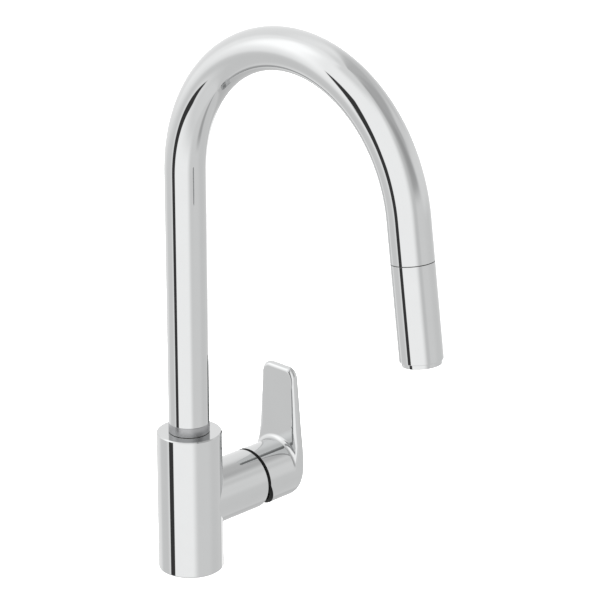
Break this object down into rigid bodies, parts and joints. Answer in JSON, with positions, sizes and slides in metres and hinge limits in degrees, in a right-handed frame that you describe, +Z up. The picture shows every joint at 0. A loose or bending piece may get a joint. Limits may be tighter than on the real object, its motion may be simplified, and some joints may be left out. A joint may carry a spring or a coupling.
{
  "type": "kitchen faucet",
  "caption": "Single-lever pull-down kitchen faucet with a high round swivel spout, a slim pull-out spray head and an upright side lever.",
  "frame": {"origin": "centre of the body's round foot, in the plane of the deck that it stands on", "axes": "+Z up, the spout reaches out towards -Y, and the lever branch points along +X"},
  "size_m": [0.1285, 0.2762, 0.4447],
  "materials": {
    "chrome": "polished chrome plate",
    "satin_chrome": "satin",
    "brass": "machined",
    "steel": "machined",
    "black_plastic": "moulded",
    "grey_plastic": "moulded",
    "white_plastic": "moulded",
    "rubber": "moulded",
    "ceramic": "lapped",
    "hose_braid": "braided nylon"
  },
  "bodies": {
    "body": {"body_casting": "chrome", "base_seal": "rubber", "hose_bush": "white_plastic", "swivel_bush_lower": "white_plastic", "swivel_bush_upper": "white_plastic", "spout_stop_screw": "steel", "cartridge_base": "white_plastic", "cartridge_port_seals": "rubber", "ceramic_disc_fixed": "ceramic", "cartridge_housing": "grey_plastic", "cartridge_nut": "brass", "cartridge_dome": "black_plastic"},
    "spout": {"spout_foot": "brass", "spout_o_ring": "rubber", "swivel_collar": "satin_chrome", "spout_tube": "chrome", "hose_dock": "black_plastic"},
    "hose_end": {"spray_hose": "hose_braid", "hose_ferrule": "steel", "hose_tail": "brass"},
    "spray_head": {"hose_nut": "brass", "inlet_washer": "rubber", "spray_neck": "black_plastic", "spray_core": "grey_plastic", "core_o_ring": "rubber", "check_valve": "white_plastic", "spray_shell": "chrome", "outlet_ring": "chrome", "aerator_housing": "grey_plastic", "aerator_screen": "steel", "flow_limiter": "white_plastic"},
    "cartridge_turn": {"cartridge_rotor": "white_plastic", "stem_pin": "steel"},
    "disc_plate": {"ceramic_disc_moving": "ceramic", "disc_carrier": "grey_plastic"},
    "lever": {"lever_stem": "brass", "lever_handle": "chrome", "lever_grub_screw": "steel", "lever_plug": "grey_plastic"}
  },
  "joints": [
    {"name": "spout_swivel", "type": "hinge", "parent": "body", "child": "spout", "pos_m": [0, 0, 0.0955], "axis": [0, 0, 1], "range_deg": [-75, 75]},
    {"name": "spray_pull", "type": "slide", "parent": "spout", "child": "hose_end", "axis": [0, -0.1374, -0.9905], "range_m": [0, 0.2], "deforming": ["spray_hose"]},
    {"name": "spray_twist", "type": "hinge", "parent": "hose_end", "child": "spray_head", "pos_m": [0, -0.22609, 0.30301], "axis": [0, -0.1374, -0.9905], "continuous": true},
    {"name": "lever_turn", "type": "hinge", "parent": "body", "child": "cartridge_turn", "pos_m": [0.056, 0, 0.0533], "axis": [1, 0, 0], "range_deg": [-45, 45]},
    {"name": "lever_tilt", "type": "hinge", "parent": "cartridge_turn", "child": "lever", "pos_m": [0.056, 0, 0.0533], "axis": [0, 1, 0], "range_deg": [0, 22]},
    {"name": "disc_slide", "type": "slide", "parent": "cartridge_turn", "child": "disc_plate", "axis": [0, 0, 1], "range_m": [0, 0.00544]}
  ],
  "couplings": [
    {"joint": "disc_slide", "follows": "lever_tilt", "m_per_rad": 0.014146}
  ]
}
